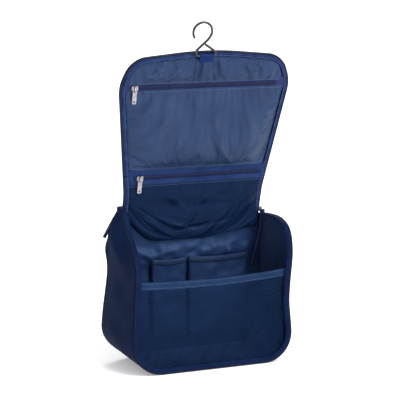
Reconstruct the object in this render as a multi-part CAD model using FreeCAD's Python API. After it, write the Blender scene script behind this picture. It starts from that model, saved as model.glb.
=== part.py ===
import FreeCAD, Part
import math
import os

# Hanging shaving kit bag, open, standing on its base.  Millimetres.
# X is right, Y is back, Z is up.  The origin is the middle of the underside.

# ---- body: a box-shaped bag whose sides and bottom are one U-shaped gusset ----
BODY_HEIGHT = 211.0        # floor to the top of the side rims
BACK_Y = 55.0              # outside of the back panel
FRONT_FOOT_Y = -57.0       # front edge of the rim at the floor
FRONT_LEAN = 0.07          # how far the front rim leans back, per mm of height
RIM_RADIUS = 65.0          # round from the front rim to the top rim
HALF_WIDTH_LOW = 128.0     # half width where the sides meet the bottom corners
HALF_WIDTH_TOP = 117.0     # half width at the top
LOW_HEIGHT = 50.0          # height of the widest part
CORNER_RADIUS = 45.0       # round of the bottom corners

# ---- fabric layers ----
OUTER = 1.5                # outer fabric
FOAM = 3.0                 # padding
LINING = 1.0               # lining
WALL = OUTER + FOAM + LINING

# ---- rim and lid edges: one long zip, half on the rim and half on the lid ----
COIL = 2.0                 # zip coil, square in section
TAPE_WIDTH = 7.0           # zip tape seen between the coil and the lining
TAPE_THICK = 1.0

# ---- lid: one soft flap in three stiff lengths with two folds ----
LID_LENGTH = 276.0
LID_LEAN = 16.0            # degrees forward of upright
LID_SHIFT = 4.0            # the soft lid hangs this far to the right
HINGE_Y = 50.0
HINGE_Z = 212.5
FOLD_LOWER = 50.0          # folds, as distances up the lid from its hinge
FOLD_UPPER = 103.6
FOLD_GAP = 0.6             # clear gap between two lengths
LID_ROOT_HALF = 114.0
LID_WIDE_HALF = 137.0
LID_WIDE_AT = 222.0
LID_CORNER = (120.0, 264.0)

# ---- pockets ----
MESH_INSET = 7.0           # the net stands this far behind the rim
MESH_TOP = 130.0
MESH_BAND = 11.0           # height of the elastic band along the net's top
POCKET_DEPTH = 9.0
POCKET_TOP = 150.0
POCKET_BOTTOM = 30.0
POCKET_BAND = 8.0
POCKETS = {"pocket_left": (-65.0, -9.0), "pocket_right": (0.0, 95.0)}

# ---- slack lining under the hinge, and the joined zip ends in the back corners ----
SLACK_HALF = 100.0
SLACK_FOOT = 176.0         # height of the crease where the slack lining turns back
SLACK_BULGE = 7.0
TAIL = (103.0, 109.0)      # inner and outer edge of a joined zip end
TAIL_FOOT = 130.0
TAIL_THICK = 1.6
BAND_THICK = 0.8           # bindings and bands

# ---- lid pocket zips: height up the lid, half length, where the slider rests ----
ZIP_TAPE_WIDTH = 26.0
ZIP_TAPE_THICK = 0.6
ZIP_COIL_WIDTH = 5.0
ZIP_COIL_THICK = 1.2
ZIPS = {
    "upper": {"at": 220.0, "half": 120.0, "coil": (-119.0, 113.0), "slider": -113.5},
    "lower": {"at": 74.0, "half": 103.0, "coil": (-100.0, 100.0), "slider": -92.0},
}
SLIDER_LENGTH = 10.0
SLIDER_PLATE = 1.1
FLANGE = 1.0               # wall beside the zip coil
BRIDGE = (2.4, 7.2, 0.8)   # width, length and wall of the arch that holds a pull
PULLER_THICK = 1.2
PULLER = (24.0, 6.6)       # length and width of a lid pocket zip's pull
MAIN_PULLER = (19.0, 8.6)  # the same, of the long zip's pulls
PULLER_ARM = 1.3           # width of metal beside the eye
EYE_LENGTH = 5.4
EYE_BAR = 0.6              # radius of a pull's bar, which turns in the bridge
EYE_ROOM = 0.45            # clearance round the bar
TAB_LENGTH = 36.0          # webbing tab on a pull of the long zip

# ---- the long zip's two sliders: side, height up the lid, outward tilt of the hanging pull ----
MAIN_SLIDERS = {"left": (-1, 22.0, 30.0), "right": (1, 7.0, 18.0)}
MAIN_PLATE = 3.0           # thickness of the slider beside the lid's edge coil
MAIN_WIDTH = 7.0
MAIN_DEPTH = 4.6           # the slider's middle, behind the lid's inner face

# ---- hanging hook, bent from one wire, in the lid's own plane ----
WIRE = 1.9                 # wire radius
HOOK_DEPTH = -3.5          # the wire's centre, in front of the lid
HOOK_BASE = 267.5          # height of the straight base, which turns in its tab
HOOK_EYE = (-16.4, 304.9)  # centre of the round part
HOOK_RADIUS = 14.7
HOOK_TIP = 214.0           # degrees round the eye where the wire begins and leaves it
HOOK_LEAVE = -32.0
HOOK_BENDS = [(-31.7, 5.9), (16.5, 3.8)]  # base corners before rounding, and their rounds
HOOK_END = (-8.9, 284.7)   # end of the short arm, beside the stem
HOOK_TAB = (-17.0, 5.0)    # left and right ends of the tab
TAB_FOOT = 257.0
TAB_WALL = 0.8
CLEARANCE = 0.3

FAR = 400.0                # longer than anything it has to cut through


# ---------------------------------------------------------------- helpers

def rounded_face(points, radii, lift):
    """A flat face on a polygon whose corners are rounded; lift makes a 3-D point."""
    count = len(points)
    ends = []
    arcs = []
    for i, (corner, radius) in enumerate(zip(points, radii)):
        here = FreeCAD.Vector(*corner, 0)
        to_last = (FreeCAD.Vector(*points[i - 1], 0) - here).normalize()
        to_next = (FreeCAD.Vector(*points[(i + 1) % count], 0) - here).normalize()
        if radius == 0:
            ends.append((here, here))
            arcs.append(None)
            continue
        half = to_last.getAngle(to_next) / 2
        reach = radius / math.tan(half)
        inward = (to_last + to_next).normalize()
        middle = here + inward * (radius / math.sin(half) - radius)
        ends.append((here + to_last * reach, here + to_next * reach))
        arcs.append(middle)
    edges = []
    for i in range(count):
        start, finish = ends[i]
        if arcs[i] is not None:
            edges.append(Part.Arc(lift(start), lift(arcs[i]), lift(finish)).toShape())
        following = ends[(i + 1) % count][0]
        edges.append(Part.LineSegment(lift(finish), lift(following)).toShape())
    return Part.Face(Part.Wire(edges))


def across(point):
    """Outline coordinates (x, z) to a point in the XZ plane."""
    return FreeCAD.Vector(point.x, 0, point.y)


def along(point):
    """Outline coordinates (y, z) to a point in the YZ plane."""
    return FreeCAD.Vector(0, point.x, point.y)


def box(low, high):
    size = [b - a for a, b in zip(low, high)]
    return Part.makeBox(*size, FreeCAD.Vector(*low))


def rod(start, finish, radius):
    axis = FreeCAD.Vector(*finish) - FreeCAD.Vector(*start)
    return Part.makeCylinder(radius, axis.Length, FreeCAD.Vector(*start), axis)


def save(name, shape):
    """Write one node, made of its closed solids."""
    solids = shape.removeSplitter().Solids
    whole = solids[0] if len(solids) == 1 else Part.makeCompound(solids)
    whole.exportStep(os.path.join("parts", name + ".step"))


# ---------------------------------------------------------------- body

def front_outline(inset, y_low, y_high, rise=50.0):
    """The bag seen from the front, inset by some wall, as a solid from y_low to y_high."""
    slope = (HALF_WIDTH_LOW - HALF_WIDTH_TOP) / (BODY_HEIGHT - LOW_HEIGHT)
    top = BODY_HEIGHT + rise
    half_top = HALF_WIDTH_TOP - slope * rise - inset
    half_foot = HALF_WIDTH_LOW + slope * (LOW_HEIGHT - inset) - inset
    points = [(-half_foot, inset), (half_foot, inset), (half_top, top), (-half_top, top)]
    radius = CORNER_RADIUS - inset
    face = rounded_face(points, [radius, radius, 0, 0], across)
    face.translate(FreeCAD.Vector(0, y_low, 0))
    return face.extrude(FreeCAD.Vector(0, y_high - y_low, 0))


def ring(outer, inner, y_low, y_high):
    """The U-shaped wall between two insets of the front outline."""
    core = front_outline(inner, y_low - 1, y_high + 1, rise=60.0)
    return front_outline(outer, y_low, y_high).cut(core)


def side_profile(inset):
    """Everything behind the rim, seen from the side, inset from the rim's front and top."""
    top = BODY_HEIGHT - inset
    foot = FRONT_FOOT_Y + inset
    low = -20.0
    front_top = foot + FRONT_LEAN * top
    points = [(foot + FRONT_LEAN * low, low), (front_top, top), (FAR, top), (FAR, low)]
    face = rounded_face(points, [0, RIM_RADIUS - inset, 0, 0], along)
    face.translate(FreeCAD.Vector(-FAR, 0, 0))
    return face.extrude(FreeCAD.Vector(2 * FAR, 0, 0))


def rim_shell(outer, inner):
    return side_profile(outer).cut(side_profile(inner))


def gusset_layer(outer, inner, y_high):
    return ring(outer, inner, FRONT_FOOT_Y - 5, y_high).common(side_profile(COIL))


def back_layer(inset, y_low, y_high):
    cut_top = box((-FAR, y_low - 1, BODY_HEIGHT - COIL), (FAR, y_high + 1, FAR))
    return front_outline(inset, y_low, y_high).cut(cut_top)


def rim_tape():
    band = ring(OUTER, COIL + TAPE_WIDTH, FRONT_FOOT_Y - 5, HINGE_Y)
    return band.common(rim_shell(COIL - TAPE_THICK, COIL))


def rim_coil():
    bead = ring(0, COIL, FRONT_FOOT_Y - 5, HINGE_Y).common(rim_shell(0, COIL))
    return bead.cut(rim_tape())


def zip_end_stops():
    """A metal stop on the rim coil at each back corner."""
    middle = HALF_WIDTH_TOP - COIL - 1.5
    half = 1.2
    stops = [
        box((side * middle - half, HINGE_Y - 4, BODY_HEIGHT - COIL + TAPE_THICK),
            (side * middle + half, HINGE_Y - 1, BODY_HEIGHT))
        for side in (-1, 1)
    ]
    return Part.makeCompound(stops)


def zip_tail(side):
    """The joined end of the long zip, which hangs inside a back corner."""
    low, high = sorted(side * edge for edge in TAIL)
    lining_face = BACK_Y - WALL
    return box((low, lining_face - TAIL_THICK, TAIL_FOOT),
               (high, lining_face, BODY_HEIGHT - COIL))


def front_sheet(inset, thick, low, high):
    """A sheet across the bag, parallel to the front rim, between two heights."""
    sheet = rim_shell(inset, inset + thick).common(front_outline(WALL, FRONT_FOOT_Y, 0))
    return sheet.common(box((-FAR, FRONT_FOOT_Y, low), (FAR, 0, high)))


def pocket(x_low, x_high):
    """A shallow pocket sewn to the back lining, open at the top."""
    back = BACK_Y - WALL
    front = back - POCKET_DEPTH
    outside = box((x_low, front, POCKET_BOTTOM), (x_high, back, POCKET_TOP))
    inside = box((x_low + LINING, front + LINING, POCKET_BOTTOM + LINING),
                 (x_high - LINING, back + 1, POCKET_TOP + 1))
    return outside.cut(inside)


def pocket_binding(x_low, x_high):
    front = BACK_Y - WALL - POCKET_DEPTH
    return box((x_low, front - BAND_THICK, POCKET_TOP - POCKET_BAND),
               (x_high, front, POCKET_TOP))


def hinge_lining():
    """Slack lining that folds into the bag just under the lid's hinge."""
    back = BACK_Y - WALL
    front = back - SLACK_BULGE
    top = BODY_HEIGHT - COIL - 0.5
    points = [(back, top), (back, SLACK_FOOT), (front, SLACK_FOOT + 5),
              (front + 1, top - 8), (back - 3, top)]
    face = rounded_face(points, [0, 0, 3, 3, 0], along)
    face.translate(FreeCAD.Vector(-SLACK_HALF, 0, 0))
    return face.extrude(FreeCAD.Vector(2 * SLACK_HALF, 0, 0))


def save_body():
    back = BACK_Y - OUTER
    foam_back = back - FOAM
    save("gusset_outer", gusset_layer(0, OUTER, back))
    save("gusset_foam", gusset_layer(OUTER, OUTER + FOAM, foam_back))
    save("gusset_lining", gusset_layer(OUTER + FOAM, WALL, foam_back))
    save("back_outer", back_layer(0, back, BACK_Y))
    save("back_foam", back_layer(OUTER, foam_back, back))
    save("back_lining", back_layer(WALL, foam_back - LINING, foam_back))
    save("rim_tape", rim_tape())
    save("rim_coil", rim_coil())
    save("zip_end_stops", zip_end_stops())
    save("zip_tail_left", zip_tail(-1))
    save("zip_tail_right", zip_tail(1))
    save("mesh_panel", front_sheet(MESH_INSET, 1.0, WALL, MESH_TOP))
    band = front_sheet(MESH_INSET - BAND_THICK, 1.0 + 2 * BAND_THICK, MESH_TOP,
                       MESH_TOP + MESH_BAND)
    save("mesh_binding", band)
    for name, ends in POCKETS.items():
        save(name, pocket(*ends))
        save(name + "_binding", pocket_binding(*ends))
    save("hinge_lining", hinge_lining())


# ---------------------------------------------------------------- lid
# The lid is built upright in its own frame: X across, Z up the lid from the hinge,
# and Y behind its inner face.  lean() puts it in its place on the bag.

def lean(shape):
    placed = shape.copy()
    placed.rotate(FreeCAD.Vector(0, 0, 0), FreeCAD.Vector(1, 0, 0), LID_LEAN)
    placed.translate(FreeCAD.Vector(LID_SHIFT, HINGE_Y, HINGE_Z))
    return placed


def lid_point(x, up, behind):
    """A point of the lid's frame, in the bag's frame."""
    angle = math.radians(LID_LEAN)
    y = HINGE_Y - up * math.sin(angle) + behind * math.cos(angle)
    z = HINGE_Z + up * math.cos(angle) + behind * math.sin(angle)
    return FreeCAD.Vector(x + LID_SHIFT, y, z)


def lid_plate(inset, y_low, y_high):
    """The whole lid's outline as a plate: straight root, widening flap, crowned top."""
    corner_x, corner_z = LID_CORNER
    foot = -20.0
    half = [(LID_ROOT_HALF - inset, foot), (LID_ROOT_HALF - inset, FOLD_LOWER - 5),
            (LID_WIDE_HALF - inset, LID_WIDE_AT), (corner_x - inset, corner_z - inset)]
    radii = [0, 150, 60 - inset, 38 - inset]
    crown = 500
    points = half + [(0, LID_LENGTH - inset)] + [(-x, z) for x, z in reversed(half)]
    face = rounded_face(points, radii + [crown] + radii[::-1], across)
    face.translate(FreeCAD.Vector(0, y_low, 0))
    return face.extrude(FreeCAD.Vector(0, y_high - y_low, 0))


def length_of_lid(shape, low, high):
    gap = FOLD_GAP / 2
    return shape.common(box((-FAR, -FAR, low + gap), (FAR, FAR, high - gap)))


def lid_layers():
    """Each layer of the lid, with how far above the hinge it starts."""
    back = LINING + FOAM
    edge = COIL + TAPE_WIDTH
    cover = lid_plate(0, back, back + OUTER)
    wall = lid_plate(0, COIL, back).cut(lid_plate(COIL, COIL - 1, back + 1))
    return {
        "outer": (cover.fuse(wall), 6.0),
        "foam": (lid_plate(COIL, LINING, back), 6.0),
        "lining": (lid_plate(edge, 0, LINING), 0.0),
        "edge_tape": (lid_plate(COIL, 0, TAPE_THICK).cut(lid_plate(edge, -1, 5)), 3.0),
        "edge_coil": (lid_plate(0, 0, COIL).cut(lid_plate(COIL, -1, 5)), 3.0),
    }


def zip_tape(at, half):
    return box((-half, -ZIP_TAPE_THICK, at - ZIP_TAPE_WIDTH / 2),
               (half, 0, at + ZIP_TAPE_WIDTH / 2))


def zip_coil(at, ends):
    front = -ZIP_TAPE_THICK - ZIP_COIL_THICK
    return box((ends[0], front, at - ZIP_COIL_WIDTH / 2),
               (ends[1], -ZIP_TAPE_THICK, at + ZIP_COIL_WIDTH / 2))


def hook_tab():
    """A ribbon loop sewn under the lid's top edge; the hook's base turns inside it."""
    left, right = HOOK_TAB
    bore = WIRE + CLEARANCE
    loop = rod((left, HOOK_DEPTH, HOOK_BASE), (right, HOOK_DEPTH, HOOK_BASE), bore + TAB_WALL)
    bottom = box((left, -0.1 - TAB_WALL * 1.5, TAB_FOOT), (right, -0.1, HOOK_BASE))
    tunnel = rod((left - 1, HOOK_DEPTH, HOOK_BASE), (right + 1, HOOK_DEPTH, HOOK_BASE), bore)
    return loop.fuse(bottom).cut(tunnel)


def save_lid():
    lengths = {
        "lid_root": (0.0, FOLD_LOWER),
        "lid_shoulder": (FOLD_LOWER, FOLD_UPPER),
        "lid_flap": (FOLD_UPPER, FAR),
    }
    for layer, (shape, start) in lid_layers().items():
        for name, (low, high) in lengths.items():
            piece = length_of_lid(shape, max(low, start), high)
            save(name + "_" + layer, lean(piece))
    for name, zip_ in ZIPS.items():
        save(name + "_zip_tape", lean(zip_tape(zip_["at"], zip_["half"])))
        save(name + "_zip_coil", lean(zip_coil(zip_["at"], zip_["coil"])))
    save("hook_tab", lean(hook_tab()))


# ---------------------------------------------------------------- hook

def hook_path():
    """The wire's centre line: tip, round eye, slanting stem, base, and the short arm."""
    eye_x, eye_z = HOOK_EYE
    tip = math.radians(HOOK_TIP)
    leave = math.radians(HOOK_LEAVE)

    def on_eye(angle):
        return FreeCAD.Vector(eye_x + HOOK_RADIUS * math.cos(angle), HOOK_DEPTH,
                              eye_z + HOOK_RADIUS * math.sin(angle))

    edges = [Part.Arc(on_eye(tip), on_eye((tip + leave) / 2), on_eye(leave)).toShape()]
    tangent = FreeCAD.Vector(math.sin(leave), 0, -math.cos(leave))
    corners = [(on_eye(leave) + tangent * 5, 12.0)]
    corners += [(FreeCAD.Vector(x, HOOK_DEPTH, HOOK_BASE), radius) for x, radius in HOOK_BENDS]
    end = FreeCAD.Vector(HOOK_END[0], HOOK_DEPTH, HOOK_END[1])
    route = [on_eye(leave)] + [corner for corner, _ in corners] + [end]
    start = route[0]
    for i, (_, radius) in enumerate(corners, start=1):
        here = route[i]
        to_last = (route[i - 1] - here).normalize()
        to_next = (route[i + 1] - here).normalize()
        half = to_last.getAngle(to_next) / 2
        reach = radius / math.tan(half)
        middle = here + (to_last + to_next).normalize() * (radius / math.sin(half) - radius)
        first, last = here + to_last * reach, here + to_next * reach
        edges.append(Part.LineSegment(start, first).toShape())
        edges.append(Part.Arc(first, middle, last).toShape())
        start = last
    edges.append(Part.LineSegment(start, end).toShape())
    return Part.Wire(edges)


def hook_wire():
    path = hook_path()
    first = path.Edges[0]
    start = first.valueAt(first.FirstParameter)
    direction = first.tangentAt(first.FirstParameter)
    section = Part.Wire(Part.makeCircle(WIRE, start, direction))
    wire = path.makePipeShell([section], True, False)
    last = path.Edges[-1]
    end = last.valueAt(last.LastParameter)
    return wire.fuse([Part.makeSphere(WIRE, start), Part.makeSphere(WIRE, end)])


# ---------------------------------------------------------------- sliders and pullers
# A slider is built at the origin: it travels along X, its zip lies under it towards +Y,
# and its bridge stands out towards -Y.  A puller hangs along -Z from its bar at the origin.

def slider_on_tape():
    """A zip slider: a rounded plate with two flanges beside the coil, and a bridge."""
    coil_face = -ZIP_TAPE_THICK - ZIP_COIL_THICK
    plate_back = coil_face - CLEARANCE
    plate_front = plate_back - SLIDER_PLATE
    half_length = SLIDER_LENGTH / 2
    half_width = ZIP_COIL_WIDTH / 2 + CLEARANCE + FLANGE
    corners = [(-half_length, -half_width), (half_length, -half_width),
               (half_length, half_width), (-half_length, half_width)]
    face = rounded_face(corners, [2.5, 1.5, 1.5, 2.5], across)
    face.translate(FreeCAD.Vector(0, plate_front, 0))
    body = face.extrude(FreeCAD.Vector(0, -CLEARANCE - ZIP_TAPE_THICK - plate_front, 0))
    channel = ZIP_COIL_WIDTH / 2 + CLEARANCE
    body = body.cut(box((-FAR, plate_back, -channel), (FAR, 1, channel)))
    return body.fuse(bridge(plate_front))


def bridge(plate_front):
    """The arch that holds a puller's bar, on a plate whose front is at plate_front."""
    width, length, wall = BRIDGE
    front = plate_front - 2 * (EYE_BAR + EYE_ROOM)
    arch = box((-width / 2, front - wall, -length / 2), (width / 2, plate_front, length / 2))
    room = length / 2 - wall
    return arch.cut(box((-width, front, -room), (width, plate_front, room)))


def bar_depth(plate_front):
    return plate_front - EYE_BAR - EYE_ROOM


def puller(length, width):
    """A flat metal pull with an eye at the top and a small hole near the end."""
    half = width / 2
    outline = rounded_face([(-half, -length), (half, -length), (half, 0), (-half, 0)],
                           [2.4, 2.4, 0, 0], across)
    outline.translate(FreeCAD.Vector(0, -PULLER_THICK / 2, 0))
    plate = outline.extrude(FreeCAD.Vector(0, PULLER_THICK, 0))
    room = half - PULLER_ARM
    eye = box((-room, -2, -EYE_LENGTH), (room, 2, 0))
    hole = rod((0, -2, 3.4 - length), (0, 2, 3.4 - length), 1.3)
    bar = rod((-half, 0, 0), (half, 0, 0), EYE_BAR)
    return plate.cut(eye).cut(hole).fuse(bar)


def save_lid_zips():
    coil_face = -ZIP_TAPE_THICK - ZIP_COIL_THICK
    plate_front = coil_face - CLEARANCE - SLIDER_PLATE
    for name, zip_ in ZIPS.items():
        place = FreeCAD.Vector(zip_["slider"], 0, zip_["at"])
        slider = slider_on_tape()
        slider.translate(place)
        pull = puller(*PULLER)
        pull.translate(place + FreeCAD.Vector(0, bar_depth(plate_front), 0))
        save(name + "_slider", lean(slider))
        save(name + "_puller", lean(pull))


def main_slider(side, up):
    """A slider of the long zip, which rides beside the lid's edge coil."""
    half = SLIDER_LENGTH / 2
    low, high = -MAIN_WIDTH / 2, MAIN_WIDTH / 2
    face = rounded_face([(low, -half), (high, -half), (high, half), (low, half)],
                        [1.5, 1.5, 2.5, 2.5], along)
    body = face.extrude(FreeCAD.Vector(MAIN_PLATE, 0, 0))
    arch = bridge(0)
    arch.rotate(FreeCAD.Vector(), FreeCAD.Vector(0, 0, 1), 90)
    arch.translate(FreeCAD.Vector(MAIN_PLATE, 0, 0))
    slider = body.fuse(arch)
    slider.translate(FreeCAD.Vector(LID_ROOT_HALF + CLEARANCE, MAIN_DEPTH, up))
    return slider if side > 0 else slider.mirror(FreeCAD.Vector(), FreeCAD.Vector(1, 0, 0))


def main_pivot(side, up):
    """Where a main puller's bar turns, in the bag's frame."""
    out = LID_ROOT_HALF + CLEARANCE + MAIN_PLATE + EYE_BAR + EYE_ROOM
    return lid_point(side * out, up, MAIN_DEPTH)


def hang(shape, side, tilt, pivot):
    """Turn a puller to face sideways, tilt it away from the bag and hang it up."""
    placed = shape.copy()
    placed.rotate(FreeCAD.Vector(), FreeCAD.Vector(0, 0, 1), 90)
    placed.rotate(FreeCAD.Vector(), FreeCAD.Vector(0, 1, 0), -side * tilt)
    placed.translate(pivot)
    return placed


def pull_tab():
    """A webbing tab sewn through the hole of a main puller."""
    length, width = MAIN_PULLER
    top = -length * 0.75
    half = width / 2
    corners = [(-half, top - TAB_LENGTH), (half, top - TAB_LENGTH), (half, top), (-half, top)]
    face = rounded_face(corners, [3, 3, 1, 1], across)
    thick = PULLER_THICK + 2 * TAB_WALL
    face.translate(FreeCAD.Vector(0, -thick / 2, 0))
    tab = face.extrude(FreeCAD.Vector(0, thick, 0))
    return tab.cut(puller(*MAIN_PULLER))


def save_main_zip():
    for name, (side, up, tilt) in MAIN_SLIDERS.items():
        pivot = main_pivot(side, up)
        pull = puller(*MAIN_PULLER)
        save("main_slider_" + name, lean(main_slider(side, up)))
        save("main_puller_" + name, hang(pull, side, tilt, pivot))
        save("main_tab_" + name, hang(pull_tab(), side, tilt, pivot))


def main():
    os.makedirs("parts", exist_ok=True)
    save_body()
    save_lid()
    save("hook_wire", lean(hook_wire()))
    save_lid_zips()
    save_main_zip()


main()
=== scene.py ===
import math

import bpy
import numpy as np
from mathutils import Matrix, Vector


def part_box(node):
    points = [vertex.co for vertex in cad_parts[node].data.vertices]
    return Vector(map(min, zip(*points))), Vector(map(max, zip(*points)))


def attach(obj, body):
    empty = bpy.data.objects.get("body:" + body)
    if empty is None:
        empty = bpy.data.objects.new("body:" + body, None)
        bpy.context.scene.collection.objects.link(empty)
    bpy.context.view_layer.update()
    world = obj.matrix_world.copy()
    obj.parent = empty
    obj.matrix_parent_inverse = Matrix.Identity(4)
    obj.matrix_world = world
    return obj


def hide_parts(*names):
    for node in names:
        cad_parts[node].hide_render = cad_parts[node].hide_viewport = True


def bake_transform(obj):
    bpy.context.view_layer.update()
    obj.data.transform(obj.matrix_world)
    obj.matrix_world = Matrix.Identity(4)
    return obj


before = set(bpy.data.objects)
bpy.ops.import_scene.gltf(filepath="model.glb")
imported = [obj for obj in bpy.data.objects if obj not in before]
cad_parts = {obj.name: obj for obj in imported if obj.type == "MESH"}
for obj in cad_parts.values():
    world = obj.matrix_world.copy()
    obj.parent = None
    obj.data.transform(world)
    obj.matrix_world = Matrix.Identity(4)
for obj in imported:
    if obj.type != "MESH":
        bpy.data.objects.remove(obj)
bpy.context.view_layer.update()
scene = bpy.context.scene

# Soft shaving kit bag, open.  Shapes are worked out in millimetres in the CAD frame:
# X right, Y back, Z up, origin under the middle of the bag.  Meshes are made in metres.
MM = 0.001

# ---- body ----
BODY_HEIGHT = 211.0
BACK_Y = 55.0
FRONT_FOOT_Y = -57.0
FRONT_LEAN = 0.07
RIM_RADIUS = 65.0
HALF_TOP = 117.0
HALF_FOOT = 131.4          # half width that the sides would have at the floor
CORNER_RADIUS = 45.0
SIDE_FOOT = 50.0           # height below which the outline turns under the bag
WALL = 5.5
LINING_FACE = BACK_Y - WALL
RIM_GAP = 1.6              # the wall's cloths start this far behind the rim
WALL_ROWS = 40
WALL_PUFF = 0.8            # how much of the outer cloth's bulge the lining follows
MESH_INSET = 7.0
MESH_TOP = 130.0
MESH_BAND = 11.0
BAND_SAG = 8.0
NET_CELL = 3.5
NET_HOLE = 1.42
POCKETS = {"pocket_left": (-65.0, -8.5), "pocket_right": (-4.0, 95.0)}
POCKET_FRONT = 40.5
POCKET_LOW = 30.0
POCKET_TOP = 153.0
POCKET_BAND = 8.0
TAIL = (103.0, 109.0)
TAIL_FOOT = 130.0

# ---- lid ----
HINGE_Y, HINGE_Z = 50.0, 212.5
LEAN = math.radians(16.0)
LID_SHIFT = 4.0
LID_LENGTH = 276.0
LID_THICK = 5.5
LID_CORNERS = [(114.0, -8.0), (114.0, 45.0), (137.0, 222.0), (120.0, 264.0)]
LID_RADII = [150.0, 60.0, 38.0]
CROWN_RADIUS = 500.0
COVER_INSET = 2.0
LINING_INSET = 8.6
UPPER_ZIP = 220.0
LOWER_ZIP = 74.0
ZIP_ENDS = {"upper": (-119.0, 113.0), "lower": (-101.0, 107.0)}
COVER_COLUMNS = 90
LOW_COLUMNS = 110          # of the lining below the lower zip
LID_COLUMNS = 116          # of the linings above it

# ---- cloth simulation ----
DRAPE_SCALE = 10.0         # sheets are settled this many times larger, where the solver is steady
DRAPE_FRAMES = 22
DRAPE_GRAVITY = 0.12
DRAPE_CLOTH = {"quality": 6, "mass": 0.2, "tension_stiffness": 12.0, "compression_stiffness": 12.0,
               "shear_stiffness": 4.0, "bending_stiffness": 0.25}

# Two bodies, and the points between which a piece that joins them goes from one to the other, in metres.
BODY_BEND = ["body", "lid_root", (0, 0.05, 0.214), (0, 0.05, 0.238)]
HINGE_BEND = ["body", "lid_root", (0, 0.048, 0.196), (0, 0.044, 0.232)]

# ---- folds pressed into the linings: across, up, turn in degrees, length, width, height ----
LEDGE_FOLDS = [(-84, 166, -32, 60, 4, 3.0), (-40, 162, 14, 70, 4, 2.6), (6, 170, 28, 46, 4, 2.4),
               (48, 166, 12, 80, 4, 3.0)]
HINGE_FOLDS = [(-74, 222, -40, 130, 5, 5.2), (-40, 214, -24, 110, 5, 4.4), (-30, 246, -40, 70, 5, 2.6),
               (52, 218, 38, 120, 5, 4.4), (80, 236, 52, 80, 5, 4.2), (20, 204, 8, 120, 4, -3.4),
               (8, 232, 58, 60, 5, 2.8)]
LID_FOLDS = [(-92, 186, 48, 80, 7, 5.4), (-84, 146, 52, 110, 8, 6.0), (-48, 112, 64, 64, 6, 4.6),
             (25, 188, 66, 70, 8, 3.6), (78, 140, 108, 120, 8, 5.0), (96, 182, 118, 70, 6, 4.0),
             (40, 110, 128, 76, 6, 4.4), (-18, 196, 112, 54, 7, 3.0), (-20, 246, 84, 44, 2.4, 3.6),
             (-13, 246, 84, 44, 2.4, -2.6), (10, 247, 97, 44, 2.2, 3.6), (16, 247, 99, 44, 2.2, -2.6),
             (-84, 244, 34, 60, 5, 5.2), (-54, 242, 60, 40, 4, 3.4), (-100, 206, 80, 40, 5, -4.0),
             (66, 248, 126, 60, 5, 4.4), (96, 240, 140, 50, 4, 3.6)]

# The lid's fabric is cut in three, each across one joint: heights up the lid where it starts and ends,
# its two bodies, and the heights between which it crosses that joint.
LID_PARTS = {
    "hinge": (-8.0, 25.0, "body", "lid_root", -6.0, 18.0),
    "lower": (25.0, 77.0, "lid_root", "lid_shoulder", 42.0, 58.0),
    "upper": (77.0, None, "lid_shoulder", "lid_flap", 92.0, 115.0),
}


# ---- shapes

def smooth(low, high, value):
    """0 before low, 1 after high, with a soft step between them."""
    share = np.clip((np.asarray(value, float) - low) / (high - low), 0.0, 1.0)
    return share * share * (3.0 - 2.0 * share)


def ripple(a, b, size, seed=0.0):
    """An uneven surface of about -1 to 1 whose waves are about size long."""
    total = 0.0
    for i in range(6):
        turn = 2.4 * i + seed
        wave = 2.0 * math.pi / size * (1.0 + 0.23 * i)
        total = total + np.sin(wave * (a * math.cos(turn) + b * math.sin(turn)) + 1.7 * i * i + seed)
    return total / 3.0


def folded(height, a, b, folds):
    """A surface's height with soft folds added. Each fold has the two places of its middle, its
    turn in degrees from the first axis, its length, its width and its height."""
    for mid_a, mid_b, turn, length, width, push in folds:
        angle = math.radians(turn)
        run = (a - mid_a) * math.cos(angle) + (b - mid_b) * math.sin(angle)
        side = (b - mid_b) * math.cos(angle) - (a - mid_a) * math.sin(angle)
        ends = 1.0 - smooth(0.25, 0.5, np.abs(run) / length)
        height = height + push * (np.exp(-((side / width) ** 2)) * ends)
    return height


def lengths(line):
    """Distance of each point from the line's start."""
    steps = np.linalg.norm(np.diff(line, axis=0), axis=1)
    return np.concatenate([[0.0], np.cumsum(steps)])


def spaced(line, count):
    """That many points, evenly spaced along a line."""
    line = np.asarray(line, float)
    far = lengths(line)
    at = np.linspace(0.0, far[-1], count)
    return np.stack([np.interp(at, far, line[:, i]) for i in range(line.shape[1])], axis=1)


def rounded(corners, radii, spacing=2.0):
    """Evenly spaced points on straight runs joined by arcs."""
    corners = [np.array(c, float) for c in corners]
    line = [corners[0]]
    for before, here, after, radius in zip(corners, corners[1:], corners[2:], radii):
        back = unit(before - here)
        on = unit(after - here)
        half = math.acos(np.clip(back @ on, -1.0, 1.0)) / 2.0
        reach = radius / math.tan(half)
        centre = here + unit(back + on) * radius / math.sin(half)
        start = here + back * reach - centre
        finish = here + on * reach - centre
        arc = math.pi - 2.0 * half
        for turn in np.linspace(0.0, arc, 24):
            line.append(centre + (start * math.sin(arc - turn) + finish * math.sin(turn)) / math.sin(arc))
    line = np.array(line + [corners[-1]])
    return spaced(line, max(2, round(lengths(line)[-1] / spacing)))


def directions(line):
    """Unit tangents of a line."""
    return unit(np.gradient(line, axis=0))


def unit(vectors):
    return vectors / np.linalg.norm(vectors, axis=-1, keepdims=True)


def coons(low, high, left, right):
    """Fills four edges with a grid of points, rows going from low to high."""
    u = np.linspace(0.0, 1.0, len(low))[None, :, None]
    v = np.linspace(0.0, 1.0, len(left))[:, None, None]
    ruled_up = (1 - v) * low[None] + v * high[None]
    ruled_across = (1 - u) * left[:, None] + u * right[:, None]
    corners = ((1 - u) * (1 - v) * low[0] + u * (1 - v) * low[-1]
               + (1 - u) * v * high[0] + u * v * high[-1])
    return ruled_up + ruled_across - corners


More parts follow.
